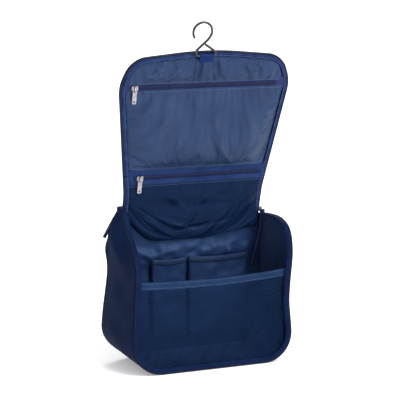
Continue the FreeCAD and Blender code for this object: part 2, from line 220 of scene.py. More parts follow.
def pinned(shape, power=0.6):
    """A grid of weights that are 0 along the four edges and 1 in the middle."""
    rows = np.sin(np.linspace(0.0, math.pi, shape[0]))[:, None]
    columns = np.sin(np.linspace(0.0, math.pi, shape[1]))[None, :]
    return (np.clip(rows, 0, 1) * np.clip(columns, 0, 1)) ** power


# ---- meshes
# A part is (points, faces, uvs) in millimetres; piece() joins parts into an object.

def grid_part(points):
    """A grid of quads; its UVs are distances over the cloth."""
    rows, columns = points.shape[:2]
    across = np.mean([lengths(row) for row in points], axis=0)
    along = np.mean([lengths(points[:, i]) for i in range(columns)], axis=0)
    uvs = np.stack(np.meshgrid(across, along), axis=-1).reshape(-1, 2)
    first = np.arange(rows - 1)[:, None] * columns + np.arange(columns - 1)[None, :]
    faces = np.stack([first, first + 1, first + columns + 1, first + columns], axis=-1)
    return points.reshape(-1, 3), faces.reshape(-1, 4).tolist(), uvs


def sweep_part(path, side, up, section):
    """A closed section, given in side and up distances, carried along a path."""
    section = np.array([*section, section[0]], float)
    points = (path[:, None] + side[:, None] * section[None, :, :1]
              + up[:, None] * section[None, :, 1:])
    vertices, faces, uvs = grid_part(points)
    count = len(section)
    last = len(vertices) - count
    faces.append(list(range(count - 1)))
    faces.append(list(range(last + count - 2, last - 1, -1)))
    return vertices, faces, uvs


def bead(length, width, height, sides=6):
    """A small rod with tapered ends, along the first axis."""
    rings = [(-0.5, 0.35), (-0.3, 1.0), (0.3, 1.0), (0.5, 0.35)]
    turns = [2.0 * math.pi * k / sides for k in range(sides)]
    points = [(at * length, scale * width / 2 * math.cos(turn), scale * height / 2 * math.sin(turn))
              for at, scale in rings for turn in turns]
    faces = [list(range(sides))[::-1], list(range(3 * sides, 4 * sides))]
    for a in range(3 * sides):
        b = a + 1 if (a + 1) % sides else a + 1 - sides
        faces.append([a, b, b + sides, a + sides])
    return np.array(points), faces


def stamp_part(shape, places, run, side, up):
    """Copies of a small shape, each at a place with its own axes."""
    points, faces = shape
    axes = np.stack([run, side, up], axis=1)
    vertices = places[:, None] + np.einsum("pk,nkc->npc", points, axes)
    count = len(points)
    copies = [[i + count * n for i in face] for n in range(len(places)) for face in faces]
    uvs = np.tile(points[:, :2], (len(places), 1))
    return vertices.reshape(-1, 3), copies, uvs


def along_line(line, side, up, pitch):
    """Places and axes at even steps along a line."""
    far = lengths(line)
    count = max(2, round(far[-1] / pitch))
    at = (np.arange(count) + 0.5) * far[-1] / count
    pick = [np.stack([np.interp(at, far, a[:, i]) for i in range(3)], axis=1)
            for a in (line, directions(line), side, up)]
    return pick[0], unit(pick[1]), unit(pick[2]), unit(pick[3])


def teeth_part(line, side, up, pitch=1.9, size=(2.2, 1.25, 1.5)):
    """The coil of a zip: one tooth after another, each lying across the line."""
    places, run, across, high = along_line(line, side, up, pitch)
    return stamp_part(bead(*size), places, across, run, high)


def stitch_part(line, side, up, pitch=3.4, size=(2.3, 0.55, 0.5)):
    """A row of stitches, each lying along the line."""
    return stamp_part(bead(*size), *along_line(line, side, up, pitch))


def seam_part(line, normals, lift, *look):
    """Stitches along a line on a cloth, raised from it along the cloth's normals."""
    side = unit(np.cross(directions(line), normals))
    return stitch_part(line + lift * normals, side, normals, *look)


def finer(points):
    """The same surface with twice as many rows and columns, on smooth curves."""
    for axis in (0, 1):
        lined = np.moveaxis(points, axis, 0)
        padded = np.concatenate([2 * lined[:1] - lined[1:2], lined, 2 * lined[-1:] - lined[-2:-1]])
        between = (9 * (padded[1:-2] + padded[2:-1]) - padded[:-3] - padded[3:]) / 16
        woven = np.empty((2 * len(lined) - 1, *lined.shape[1:]))
        woven[::2] = lined
        woven[1::2] = between
        points = np.moveaxis(woven, 0, axis)
    return points


def surface_normals(points):
    """Unit normals of a grid of points."""
    return unit(np.cross(np.gradient(points, axis=1), np.gradient(points, axis=0)))


def add(name, data):
    """A new object in the scene."""
    made = bpy.data.objects.new(name, data)
    scene.collection.objects.link(made)
    return made


def piece(name, parts, material, thickness=0.0):
    """One object made of parts."""
    faces = []
    count = 0
    for points, part_faces, _ in parts:
        faces += [[i + count for i in face] for face in part_faces]
        count += len(points)
    vertices = np.concatenate([part[0] for part in parts]) * MM
    uvs = np.concatenate([part[2] for part in parts]) * MM
    mesh = bpy.data.meshes.new(name)
    mesh.from_pydata(vertices.tolist(), [], faces)
    layer = mesh.uv_layers.new(name="cloth")
    corner = np.zeros(len(mesh.loops), int)
    mesh.loops.foreach_get("vertex_index", corner)
    layer.data.foreach_set("uv", uvs[corner].ravel())
    mesh.shade_smooth()
    mesh.materials.append(material)
    made = add(name, mesh)
    if thickness:
        solid = made.modifiers.new("thickness", "SOLIDIFY")
        solid.thickness = thickness * MM
        solid.offset = 0.0
    return made


def fit(made, slot, moves, *nodes):
    """Parents a piece to the one body it moves with, or leaves it where it is when it joins two, and hides
    the CAD solids it stands for; slot, its finish, is not used.
    """
    if len(moves) == 1:
        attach(made, *moves)
    else:
        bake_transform(made)
    if nodes:
        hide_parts(*nodes)


def trim(name, parts, material, slot, moves, *nodes):
    """A piece that is not a sheet of cloth, fitted."""
    fit(piece(name, parts, material), slot, moves, *nodes)


def cloth(name, points, material, thickness, normals=None):
    """A sheet of cloth on a grid of points; its UVs are distances over that grid, as it lies.
    normals keep the shading smooth where the sheet goes on in another piece."""
    made = piece(name, [grid_part(points)], material, thickness)
    if normals is not None:
        made.data.normals_split_custom_set_from_vertices(normals.reshape(-1, 3).tolist())
    return made


def drape(points, spare, limit):
    """Cloth simulation of a sheet that is held along its edges and has some cloth to spare.
    No point moves further than the limit."""
    rows, columns = points.shape[:2]
    scale = DRAPE_SCALE * MM
    vertices, faces, _ = grid_part(points)
    mesh = bpy.data.meshes.new("drape")
    mesh.from_pydata((vertices * scale).tolist(), [], faces)
    sheet = add("drape", mesh)
    index = np.arange(rows * columns).reshape(rows, columns)
    held = np.unique(np.concatenate([index[0], index[-1], index[:, 0], index[:, -1]]))
    pins = sheet.vertex_groups.new(name="pins")
    pins.add(held.tolist(), 1.0, "REPLACE")
    settings = sheet.modifiers.new("cloth", "CLOTH").settings
    for setting, value in DRAPE_CLOTH.items():
        setattr(settings, setting, value)
    settings.vertex_group_mass = "pins"
    settings.shrink_min = -spare
    settings.effector_weights.gravity = DRAPE_GRAVITY
    for number in range(1, DRAPE_FRAMES + 1):
        scene.frame_set(number)
    shaped = sheet.evaluated_get(bpy.context.evaluated_depsgraph_get())
    moved = np.zeros(rows * columns * 3)
    shaped.data.vertices.foreach_get("co", moved)
    moved = moved.reshape(rows, columns, 3) / scale - points
    scene.frame_set(1)
    bpy.data.objects.remove(sheet)
    far = np.linalg.norm(moved, axis=2, keepdims=True)
    return points + moved * np.minimum(1.0, limit / np.maximum(far, 1e-6))


# ---- materials

def linear(red, green, blue):
    """A screen colour of 0 to 255, as the shader wants it."""
    parts = []
    for value in (red, green, blue):
        share = value / 255.0
        parts.append(share / 12.92 if share <= 0.04045 else ((share + 0.055) / 1.055) ** 2.4)
    return (*parts, 1.0)


def shader(name, roughness, **values):
    """A material, its node tree and its Principled shader."""
    made = bpy.data.materials.new(name)
    made.use_nodes = True
    tree = made.node_tree
    surface = tree.nodes["Principled BSDF"]
    surface.inputs["Roughness"].default_value = roughness
    for socket, value in values.items():
        surface.inputs[socket.replace("_", " ")].default_value = value
    return made, tree, surface


def node(tree, kind, inputs=(), **settings):
    made = tree.nodes.new("ShaderNode" + kind)
    for key, value in settings.items():
        setattr(made, key, value)
    for socket, value in dict(inputs).items():
        if isinstance(value, bpy.types.NodeSocket):
            tree.links.new(value, made.inputs[socket])
        else:
            made.inputs[socket].default_value = value
    return made


def noise(tree, place, scale, detail):
    made = node(tree, "TexNoise",
                {"Vector": place.outputs["Object"], "Scale": scale, "Detail": detail})
    return made.outputs["Fac"]


def ranged(tree, value, low, high):
    """A value of 0 to 1, stretched to run from low to high."""
    made = node(tree, "MapRange", {"Value": value, "To Min": low, "To Max": high})
    return made.outputs["Result"]


def bump(tree, height, strength, distance, **under):
    """Normals of a surface raised by that height, over those of any bump under it."""
    made = node(tree, "Bump",
                {"Height": height, "Strength": strength, "Distance": distance, **under})
    return made.outputs["Normal"]


def mottled(tree, place, dark, light, scale):
    """A colour that wanders between two shades."""
    ramp = node(tree, "ValToRGB", {"Fac": noise(tree, place, scale, 3.0)})
    ends = zip(ramp.color_ramp.elements, (0.3, 0.7), (dark, light))
    for element, position, shade in ends:
        element.position = position
        element.color = linear(*shade)
    return ramp.outputs["Color"]


def link(tree, surface, **outputs):
    """Drives the shader's sockets by node outputs."""
    for socket, output in outputs.items():
        tree.links.new(output, surface.inputs[socket.replace("_", " ")])


def threads(tree, place, pitch, turn):
    """One set of raised threads, that far apart in metres."""
    spun = node(tree, "Mapping", {"Vector": place.outputs["UV"], "Rotation": (0.0, 0.0, turn)})
    wave = node(tree, "TexWave",
                {"Vector": spun.outputs["Vector"], "Scale": math.pi / 10.0 / pitch,
                 "Distortion": 0.6, "Detail": 1.0, "Detail Scale": 0.4})
    return wave.outputs["Fac"]


def cloth_material(name, dark, light, pitches, turn=0.0, relief=0.35, depth=0.00025, roughness=0.75,
                   sheen=0.1, shine=0.15, thread_shade=0.25, patches=45.0):
    """Woven cloth: crossed threads that shade its colour and raise its surface."""
    tint = [min(1.0, 3.0 * part) for part in linear(*light)]
    made, tree, surface = shader(name, roughness, Sheen_Weight=sheen, Sheen_Roughness=0.45,
                                 Sheen_Tint=tint, Specular_IOR_Level=shine,
                                 Specular_Tint=NAVY_GLOSS)
    place = node(tree, "TexCoord")
    warp = threads(tree, place, pitches[0], turn)
    weft = threads(tree, place, pitches[1], turn + math.pi / 2)
    weave = node(tree, "Math", {0: warp, 1: weft}, operation="MAXIMUM")
    raised = weave.outputs["Value"]
    tinted = node(tree, "VectorMath",
                  {0: mottled(tree, place, dark, light, patches),
                   "Scale": ranged(tree, raised, 1.0 - thread_shade, 1.0)}, operation="SCALE")
    fuzz = noise(tree, place, 900.0, 2.0)
    woven = bump(tree, raised, relief, depth)
    link(tree, surface, Base_Color=tinted.outputs["Vector"],
         Roughness=ranged(tree, fuzz, roughness - 0.08, roughness + 0.08),
         Normal=bump(tree, fuzz, 0.15, 0.0003, Normal=woven))
    return made


def metal_material(name, dark, light, roughness):
    """Plated metal with fine scratches and dull patches."""
    made, tree, surface = shader(name, roughness, Metallic=1.0)
    place = node(tree, "TexCoord")
    worn = noise(tree, place, 600.0, 4.0)
    link(tree, surface, Base_Color=mottled(tree, place, dark, light, 350.0),
         Roughness=ranged(tree, worn, roughness - 0.08, roughness + 0.14),
         Normal=bump(tree, worn, 0.12, 0.0002))
    return made


def plastic_material(name, dark, light, roughness):
    made, tree, surface = shader(name, roughness, Specular_IOR_Level=0.15)
    place = node(tree, "TexCoord")
    link(tree, surface, Base_Color=mottled(tree, place, dark, light, 220.0))
    return made


# Name, dark and light shade, distance between threads each way, and what sets it apart.
NAVY_GLOSS = (0.35, 0.55, 1.0, 1.0)
SATIN = {"turn": 0.35, "relief": 0.12, "roughness": 0.44, "thread_shade": 0.1, "patches": 30.0}
TAPE = {"relief": 0.5, "roughness": 0.7}
CLOTHS = [
    ("outer", (13, 26, 55), (16, 31, 62), (0.0011, 0.0011),
     {"relief": 0.6, "sheen": 0.0, "shine": 0.06, "thread_shade": 0.4, "patches": 24.0}),
    ("lining", (33, 46, 75), (40, 55, 86), (0.0005, 0.0007), {**SATIN, "shine": 0.42}),
    # The lining's satin again, darker: painted shade for the lid's lower part and the hinge, which lean
    # away from the light.
    ("shaded_low_lining", (8, 23, 50), (12, 29, 58), (0.0005, 0.0007), {**SATIN, "sheen": 0.0, "shine": 0.14}),
    # The lining's satin once more, less dark: painted shade for the back wall and the pocket fronts down
    # inside the bag.
    ("shaded_mid_lining", (19, 36, 68), (26, 45, 80), (0.0005, 0.0007), {**SATIN, "sheen": 0.04, "shine": 0.26}),
    ("tape", (26, 42, 82), (38, 58, 104), (0.0011, 0.0022), {**TAPE, "patches": 60.0}),
    ("edge_tape", (22, 36, 74), (38, 58, 104), (0.0011, 0.0022), {**TAPE, "patches": 110.0}),
    ("rim_tape", (12, 24, 54), (17, 31, 66), (0.0011, 0.0022), {**TAPE, "sheen": 0.03, "shine": 0.06}),
    ("dark_tape", (40, 44, 84), (48, 53, 96), (0.0011, 0.0022), TAPE),
    ("net", (12, 30, 60), (18, 40, 73), (0.0004, 0.0004), {"relief": 0.3, "roughness": 0.7}),
    ("elastic", (26, 45, 76), (33, 54, 88), (0.0012, 0.0035), {"relief": 0.8, "depth": 0.0005}),
    ("ribbon", (19, 40, 86), (29, 54, 108), (0.0012, 0.0006), {"relief": 0.6, "roughness": 0.6}),
    ("webbing", (22, 31, 58), (28, 39, 70), (0.0014, 0.0028), {"relief": 0.9, "depth": 0.0005}),
    ("thread", (84, 102, 146), (100, 120, 162), (0.0003, 0.0003), {"roughness": 0.6}),
    ("dark_thread", (30, 44, 80), (38, 54, 92), (0.0003, 0.0003), {"roughness": 0.6}),
]


def make_materials():
    made = {name: cloth_material(name, dark, light, pitches, **rest)
            for name, dark, light, pitches, rest in CLOTHS}
    made["coil"] = plastic_material("zip_coil", (16, 19, 36), (27, 32, 54), 0.4)
    made["blue_coil"] = plastic_material("pocket_zip_coil", (18, 27, 60), (25, 36, 74), 0.45)
    made["nickel"] = metal_material("nickel", (128, 126, 128), (182, 180, 182), 0.28)
    made["steel"] = metal_material("steel_wire", (56, 57, 62), (86, 87, 92), 0.36)
    return made


# ---- body

def slump(points):
    """The soft body's lean: its right side stands out, and its left back corner is pulled up."""
    x, y, z = points[..., 0], points[..., 1], points[..., 2]
    right = smooth(30.0, 115.0, x)
    left = smooth(-30.0, -105.0, x)
    high = smooth(110.0, 205.0, z)
    out = right * smooth(80.0, 195.0, z) * 16.0 * (1.0 - 0.75 * smooth(-5.0, 50.0, y))
    crest = smooth(2.0, 36.0, y) * smooth(55.0, 40.0, y)
    pull = left * high * (24.0 * crest - 16.0 * smooth(24.0, -20.0, y))
    rise = right * high * 5.0 * smooth(55.0, 30.0, y)
    corner = right * np.exp(-((y + 24.0) / 24.0) ** 2 - ((z - 190.0) / 24.0) ** 2)
    return np.stack([x + out, y - 3.0 * corner, z + pull + rise + 5.0 * corner], axis=-1)


def bag_outline():
    """The front outline from one top corner under the bag to the other: x and z."""
    corners = [(-HALF_TOP, BODY_HEIGHT), (-HALF_FOOT, 0.0), (HALF_FOOT, 0.0), (HALF_TOP, BODY_HEIGHT)]
    return rounded(corners, [CORNER_RADIUS, CORNER_RADIUS], 3.0)


def half_width(z):
    return HALF_TOP + (HALF_FOOT - HALF_TOP) * (BODY_HEIGHT - z) / BODY_HEIGHT


def rim_lines():
    """Along the rim: the rim's points, the back edge's points, and the outward normals."""
    front_top = FRONT_FOOT_Y + FRONT_LEAN * BODY_HEIGHT
    front_low = FRONT_FOOT_Y + FRONT_LEAN * SIDE_FOOT
    profile = rounded([(HINGE_Y, BODY_HEIGHT), (front_top, BODY_HEIGHT), (front_low, SIDE_FOOT)],
                      [RIM_RADIUS], 3.0)
    back_z = np.linspace(BODY_HEIGHT, SIDE_FOOT, len(profile))
    rims, backs = [], []
    for side in (-1, 1):
        rims.append(np.stack([side * half_width(profile[:, 1]), *profile.T], axis=1))
        backs.append(np.stack([side * half_width(back_z), 0 * back_z + BACK_Y, back_z], axis=1))
    outline = bag_outline()
    x, z = outline[outline[:, 1] < SIDE_FOOT - 1.0].T
    rim = np.concatenate([rims[0], np.stack([x, FRONT_FOOT_Y + FRONT_LEAN * z, z], axis=1), rims[1][::-1]])
    back = np.concatenate([backs[0], np.stack([x, 0 * z + BACK_Y, z], axis=1), backs[1][::-1]])
    tangent = directions(back)
    outward = unit(np.stack([-tangent[:, 2], np.zeros(len(tangent)), tangent[:, 0]], axis=1))
    outward = -outward if outward[10, 0] > 0 else outward
    return rim, back, outward


def gusset_points(inset, start, finish, rows=WALL_ROWS, puff=1.0):
    """The wall that goes round the bag, from the rim to the back, that far inside."""
    rim, back, outward = rim_lines()
    share = np.linspace(0.0, 1.0, rows)[:, None, None]
    width = np.linalg.norm(back - rim, axis=1)[None, :, None]
    share = start / width + share * (1.0 - (start + finish) / width)
    points = rim[None] * (1.0 - share) + back[None] * share - inset * outward[None]
    z = points[..., 2]
    left = smooth(10.0, -60.0, points[..., 0])
    back_share = share[..., 0]
    tall = smooth(8.0, 55.0, z) * (1.0 - 0.4 * smooth(165.0, 211.0, z))
    flare = 9.5 + 4.5 * smooth(150.0, 60.0, z) + 6.5 * np.exp(-((z - 180.0) / 24.0) ** 2)
    flare = flare * left * np.sin(np.clip(back_share / 0.85, 0, 1) * math.pi / 2)
    belly = 8.0 * (1.0 - left) * smooth(10.0, 60.0, points[..., 0]) * np.sin(back_share * math.pi)
    dents = 1.3 * ripple(points[..., 1], z, 85.0, 1.3) * np.sin(back_share * math.pi)
    out = puff * tall * (flare + belly + dents)
    return slump(points + out[..., None] * outward[None])


def rim_frame():
    """The rim as it lies, with its outward and forward directions."""
    rim, back, outward = rim_lines()
    forward = unit(rim - back)
    line = slump(rim)
    run = directions(line)
    side = unit(outward - run * np.sum(outward * run, axis=1, keepdims=True))
    front = np.cross(run, side)
    front = front * np.sign(np.sum(front * forward, axis=1, keepdims=True))
    return line, side, front


def inside_edge(edge, rows, columns):
    """Fills the U-shaped back edge of the gusset with a grid, rows going up."""
    first = int(np.argmin(edge[:, 0] + edge[:, 2]))
    last = int(np.argmax(edge[:, 0] - edge[:, 2]))
    foot = spaced(edge[first:last + 1], columns)
    left = spaced(edge[first::-1], rows)
    right = spaced(edge[last:], rows)
    return coons(foot, np.linspace(left[-1], right[-1], columns), left, right)


def make_body(m):
    """The wall's two cloths, the long zip round its rim, and the seams."""
    outer = cloth("gusset", gusset_points(0.0, RIM_GAP, 0.0), m["outer"], 1.2)
    fit(outer, "outer_fabric", BODY_BEND, "gusset_outer", "gusset_foam")
    inner = cloth("gusset_lining_cloth", gusset_points(WALL, RIM_GAP, WALL, puff=WALL_PUFF), m["lining"],
                  0.6)
    fit(inner, "lining_satin", BODY_BEND, "gusset_lining")

    line, side, front = rim_frame()
    tape = [(-1.4, -1.6), (-1.6, -0.6), (-5.0, -0.5), (-9.0, -1.2), (-9.2, -2.0), (-5.0, -1.6)]
    trim("rim_zip_tape", [sweep_part(line, side, front, tape)], m["rim_tape"], "zip_tape",
         BODY_BEND, "rim_tape")
    core = [(-0.4, -1.9), (-0.2, -0.9), (-1.0, -0.5), (-1.9, -0.9), (-1.9, -1.9)]
    teeth = teeth_part(line - side * 1.1 - front * 0.8, side, front)
    trim("rim_zip_coil", [sweep_part(line, side, front, core), teeth], m["coil"], "zip_coil",
         BODY_BEND, "rim_coil")
    sewn = [stitch_part(line - side * at - front * 0.5, side, front) for at in (3.6, 8.0)]
    trim("rim_stitches", sewn, m["dark_thread"], "zip_tape", BODY_BEND)

    edge = gusset_points(0.0, 0.0, 0.0, 3)[-1]
    run = directions(edge)
    behind = np.tile([0.0, 1.0, 0.0], (len(edge), 1))
    turns = np.linspace(0, 2 * math.pi, 9)[:-1]
    cord = [(1.7 * math.cos(t) - 0.6, 1.7 * math.sin(t) - 0.6) for t in turns]
    trim("back_piping", [sweep_part(edge, unit(np.cross(behind, run)), behind, cord)], m["outer"],
         "outer_fabric", BODY_BEND)
    grid = gusset_points(-0.7, RIM_GAP, 0.0)
    outward = unit(grid[5] - gusset_points(3.0, RIM_GAP, 0.0)[5])
    sewn = [seam_part(row, outward, 0.0) for row in grid[[3, -4]]]
    trim("gusset_stitches", sewn, m["dark_thread"], "outer_fabric", BODY_BEND)


def make_inside(m):
    """The back lining with its ledge, the pockets, the net and the zip's tails."""
    points = inside_edge(gusset_points(WALL, RIM_GAP, WALL, puff=WALL_PUFF)[-1], 80, 110)
    x, z = points[..., 0], points[..., 2]
    ledge = np.exp(-((z - 158.0) / 15.0) ** 2) * smooth(-108.0, -80.0, x) * smooth(112.0, 92.0, x)
    creases = folded(6.0 + 2.0 * ripple(x, 1.4 * z, 46.0, 0.8), x, z, LEDGE_FOLDS)
    points[..., 1] -= creases * ledge + pinned(x.shape) * (1.6 * ripple(x, z, 60.0, 0.4) + 1.4)
    # The back wall wears the darker copy of the satin: painted shade inside the bag.
    back = cloth("back_lining_cloth", points, m["shaded_mid_lining"], 0.6)
    fit(back, "lining_satin", ["body"], "back_lining")
    for name, (low, high) in POCKETS.items():
        make_pocket(name, low, high, m)
    make_net(m)
    for name, side in (("left", -1), ("right", 1)):
        make_tail(name, side, m)


def make_pocket(name, low, high, m):
    """A patch pocket with a gathered front and a bound top."""
    front = POCKET_FRONT
    plan = rounded([(low, LINING_FACE), (low, front), (high, front), (high, LINING_FACE)], [4, 4], 1.0)
    plan = spaced(plan, 70)
    tall = np.tile(np.linspace(POCKET_LOW, POCKET_TOP, 60)[:, None], (1, 70))
    x = np.tile(plan[:, 0], (60, 1))
    y = np.tile(plan[:, 1], (60, 1))
    share = (x - low) / (high - low)
    y = y - pinned(x.shape) * (1.5 + 1.5 * ripple(x, tall, 45.0, low))
    sag = 2.5 * np.sin(share * math.pi) * smooth(POCKET_TOP - 60.0, POCKET_TOP, tall)
    points = np.stack([x, y, tall - sag], axis=-1)
    # The pocket front wears the darker copy of the satin as painted shade; its bound top keeps the
    # lining's lighter shade.
    front_cloth = cloth(name + "_cloth", points, m["shaded_mid_lining"], 0.8)
    fit(front_cloth, "lining_satin", ["body"], name)
    top = points[-1]
    run = directions(top)
    up = np.tile([0.0, 0.0, 1.0], (len(top), 1))
    out = unit(np.cross(run, up))
    section = [(-1.2, 0.4), (-1.5, -POCKET_BAND), (-0.4, -POCKET_BAND - 0.3), (0.7, -POCKET_BAND),
               (0.8, 0.2), (0.0, 1.2)]
    trim(name + "_band", [sweep_part(top, -out, up, section)], m["lining"], "lining_satin", ["body"],
         name + "_binding")
    sewn = stitch_part(top + out * 1.0 - up * (POCKET_BAND - 1.2), out, up)
    trim(name + "_stitches", [sewn], m["thread"], "lining_satin", ["body"])


def on_lid(across, up, behind):
    """Points given in the lid's own frame."""
    across, up, behind = np.broadcast_arrays(across, up, behind)
    return np.stack([across + LID_SHIFT,
                     HINGE_Y - up * math.sin(LEAN) + behind * math.cos(LEAN),
                     HINGE_Z + up * math.cos(LEAN) + behind * math.sin(LEAN)], axis=-1)


def lid_way(up, behind):
    """A direction given in the lid's own frame."""
    return on_lid(0.0, up, behind) - on_lid(0.0, 0.0, 0.0)


def crease_height(share):
    """Height of the crease under the lid's lining, across the bag from left to right."""
    return 181.0 + 40.0 * (1.0 - smooth(-0.06, 0.2, share)) + 11.0 * smooth(0.5, 1.0, share)


def hanging_lining():
    """One cloth from the lower zip down the lid and into the bag, where it turns back.
    Also gives the row where it crosses from the lid's part to the hinge's."""
    share = np.linspace(0.0, 1.0, LOW_COLUMNS)
    split = LID_PARTS["lower"][0]
    flat = lid_panel(split, LOWER_ZIP - 12.0, LINING_INSET, 20, len(share))[::-1]
    on_flap = on_lid(flat[..., 0], flat[..., 1], -0.7)
    top = on_flap[-1]
    foot = np.stack([-108.0 + 216.0 * share + LID_SHIFT, 47.5 + 0.0 * share,
                     crease_height(share)], axis=1)
    hang = np.minimum(1.0, (top[:, 2:] - foot[:, 2:]) / 50.0)
    drop = top + hang * (lid_way(-22.0, 0.0) - [0.0, 5.0, 0.0])
    belly = foot + hang * [0.0, -12.0, 9.0]
    v = np.linspace(0.0, 1.0, 46)[1:, None, None]
    below = ((1 - v) ** 3 * top + 3 * v * (1 - v) ** 2 * drop
             + 3 * v * v * (1 - v) * belly + v ** 3 * foot)
    points = np.concatenate([on_flap, below])
    a, b = points[..., 0], points[..., 2]
    wave = 1.6 + 1.0 * ripple(a, 1.5 * b, 60.0, 2.0)
    points[..., 1] -= pinned(a.shape, 0.5) * folded(wave, a, b, HINGE_FOLDS)
    draped = finer(drape(points, 0.005, 4.0))[::-1]
    return draped, len(draped) - 2 * len(flat) + 1


def seam_stitches(name, row, normals, material, part):
    """Stitches on one of the lid's linings, along one of its rows."""
    sewn = seam_part(row, normals, 0.4, 3.2, (2.1, 0.6, 0.5))
    trim(name, [sewn], material, "lining_satin", across_fold(part))


def make_hinge_lining(m):
    points, split = hanging_lining()
    normals = surface_normals(points)
    # Both parts wear the darker copy of the satin: painted shade, as they lean away from the light.
    hang = cloth("hinge_lining_cloth", points[:split + 1], m["shaded_low_lining"], 0.0,
                 normals[:split + 1])
    fit(hang, "lining_satin", HINGE_BEND, "hinge_lining")
    low = cloth("lid_lining_low", points[split:], m["shaded_low_lining"], 0.0,
                normals[split:])
    fit(low, "lining_satin", across_fold("lower"), "lid_root_lining")
    seam_stitches("lid_low_stitches", points[-3], normals[-3], m["thread"], "lower")


def net_point(x, z):
    """A point of the front net, which sags a little between its sides."""
    half = half_width(z) - WALL
    middle = 1.0 - np.clip(x / half, -1, 1) ** 2
    low = smooth(20.0, MESH_TOP, z)
    y = FRONT_FOOT_Y + FRONT_LEAN * z + MESH_INSET
    y = y + 1.5 * ripple(x, z, 80.0, 0.7) * middle + 9.0 * middle * low
    return slump(np.stack([x, y, z - BAND_SAG * middle * low], axis=-1))


def make_net(m):
    """Knitted net: real six-sided holes."""
    step_x, step_z = NET_CELL, NET_CELL * math.sqrt(3.0) / 2.0
    radius = NET_CELL / math.sqrt(3.0)
    centres = []
    for row in range(int(MESH_TOP / step_z) + 1):
        z = WALL + 1.5 + row * step_z
        low = min(z, CORNER_RADIUS)
        tuck = CORNER_RADIUS - math.sqrt(CORNER_RADIUS ** 2 - (CORNER_RADIUS - low) ** 2)
        half = half_width(z) - WALL + 0.5 - 0.9 * tuck
        first = -math.floor(half / step_x) - 1
        for column in range(first, -first + 1):
            x = (column + 0.5 * (row % 2)) * step_x
            if abs(x) < half and z < MESH_TOP + 3.0:
                centres.append((x, z))
    centres = np.array(centres)
    turns = np.radians(30.0 + 60.0 * np.arange(6))
    spokes = np.stack([np.cos(turns), np.sin(turns)], axis=1)
    outer = centres[:, None] + radius * spokes[None]
    inner = centres[:, None] + NET_HOLE * spokes[None]
    flat = np.concatenate([outer.reshape(-1, 2), inner.reshape(-1, 2)])
    _, first, place = np.unique(np.round(flat, 2), axis=0, return_index=True, return_inverse=True)
    outer_at, inner_at = place.reshape(2, -1, 6)
    ahead = np.roll(outer_at, -1, axis=1), np.roll(inner_at, -1, axis=1)
    faces = np.stack([outer_at, ahead[0], ahead[1], inner_at], axis=-1).reshape(-1, 4).tolist()
    points = net_point(flat[first][:, 0], flat[first][:, 1])
    net = piece("front_net", [(points, faces, flat[first])], m["net"], 0.5)
    # Its area is that of the cords, taken as half of the opening; the rest is holes.
    fit(net, "net", ["body"], "mesh_panel")

    half = half_width(MESH_TOP) - WALL + 0.5
    line = net_point(np.linspace(-half, half, 120), np.full(120, MESH_TOP))
    run = directions(line)
    steep = np.array([0.0, FRONT_LEAN, 1.0])
    up = unit(steep - run * (run @ steep)[:, None])
    out = unit(np.cross(run, up))
    section = [(0.9, -0.5), (1.2, MESH_BAND / 2), (1.0, MESH_BAND - 0.5), (0.0, MESH_BAND + 0.3),
               (-0.9, MESH_BAND - 0.5), (-0.9, -0.5)]
    trim("net_elastic", [sweep_part(line, out, up, section)], m["elastic"], "elastic", ["body"],
         "mesh_binding")
    sewn = [stitch_part(line + out * 1.15 + up * at, out, up, 2.8, (1.9, 0.5, 0.4))
            for at in (1.8, MESH_BAND - 2.0)]
    trim("net_elastic_stitches", sewn, m["thread"], "elastic", ["body"])


def make_tail(name, side, m):
    """A joined end of the long zip, hanging in a back corner."""
    z = np.linspace(BODY_HEIGHT + 6.0, TAIL_FOOT, 60)
    top = smooth(TAIL_FOOT, BODY_HEIGHT, z)
    x = side * (sum(TAIL) / 2 + 10.0 * top + 1.5 * np.sin((z - TAIL_FOOT) / 26.0))
    y = LINING_FACE - 4.0 - 3.5 * top
    line = slump(np.stack([x, y, z], axis=1))
    run = directions(line)
    out = np.tile([0.0, -1.0, 0.0], (60, 1))
    across = unit(np.cross(run, out))
    half = (TAIL[1] - TAIL[0]) / 2
    section = [(-half - 1.5, 0.2), (-half, 0.8), (half, 0.8), (half + 1.5, 0.2), (half, -0.4),
               (-half, -0.4)]
    trim("zip_tail_tape_" + name, [sweep_part(line, across, out, section)], m["dark_tape"], "zip_tape",
         ["body"], "zip_tail_" + name)
    teeth = teeth_part(line + out * 1.1, across, out, 1.9, (4.6, 1.3, 1.4))
    trim("zip_tail_coil_" + name, [teeth], m["coil"], "zip_coil", ["body"])


# ---- lid

def lid_outline(inset=0.0):
    """The lid's edge from its left foot over the top to its right foot: across and up."""
    left = [(-x, up) for x, up in LID_CORNERS]
    right = LID_CORNERS[::-1]
    radii = LID_RADII + [CROWN_RADIUS] + LID_RADII[::-1]
    line = rounded(left + [(0.0, LID_LENGTH)] + right, radii)
    run = directions(line)
    return line + inset * np.stack([run[:, 1], -run[:, 0]], axis=1)


def lid_side(line, side, low, high, rows):
    """Evenly spaced points up one side of the lid's outline, 0 for left and 1 for right."""
    middle = len(line) // 2
    edge = line[:middle - 1:-1] if side else line[:middle]
    up = np.linspace(low, high, rows)
    return np.stack([np.interp(up, edge[:, 1], edge[:, 0]), up], axis=1)


def lid_panel(low, high, inset, rows, columns):
    """Points that fill the lid between two heights, or up to its crown."""
    line = lid_outline(inset)
    if high is None:
        first = int(np.argmax(line[:, 1] - line[:, 0]))
        last = int(np.argmax(line[:, 1] + line[:, 0]))
        left = lid_side(line, 0, low, line[first, 1], rows)
        right = lid_side(line, 1, low, line[last, 1], rows)
        top = spaced(line[first:last + 1], columns)
    else:
        left, right = [lid_side(line, side, low, high, rows) for side in (0, 1)]
        top = np.linspace(left[-1], right[-1], columns)
    return coons(np.linspace(left[0], right[0], columns), top, left, right)


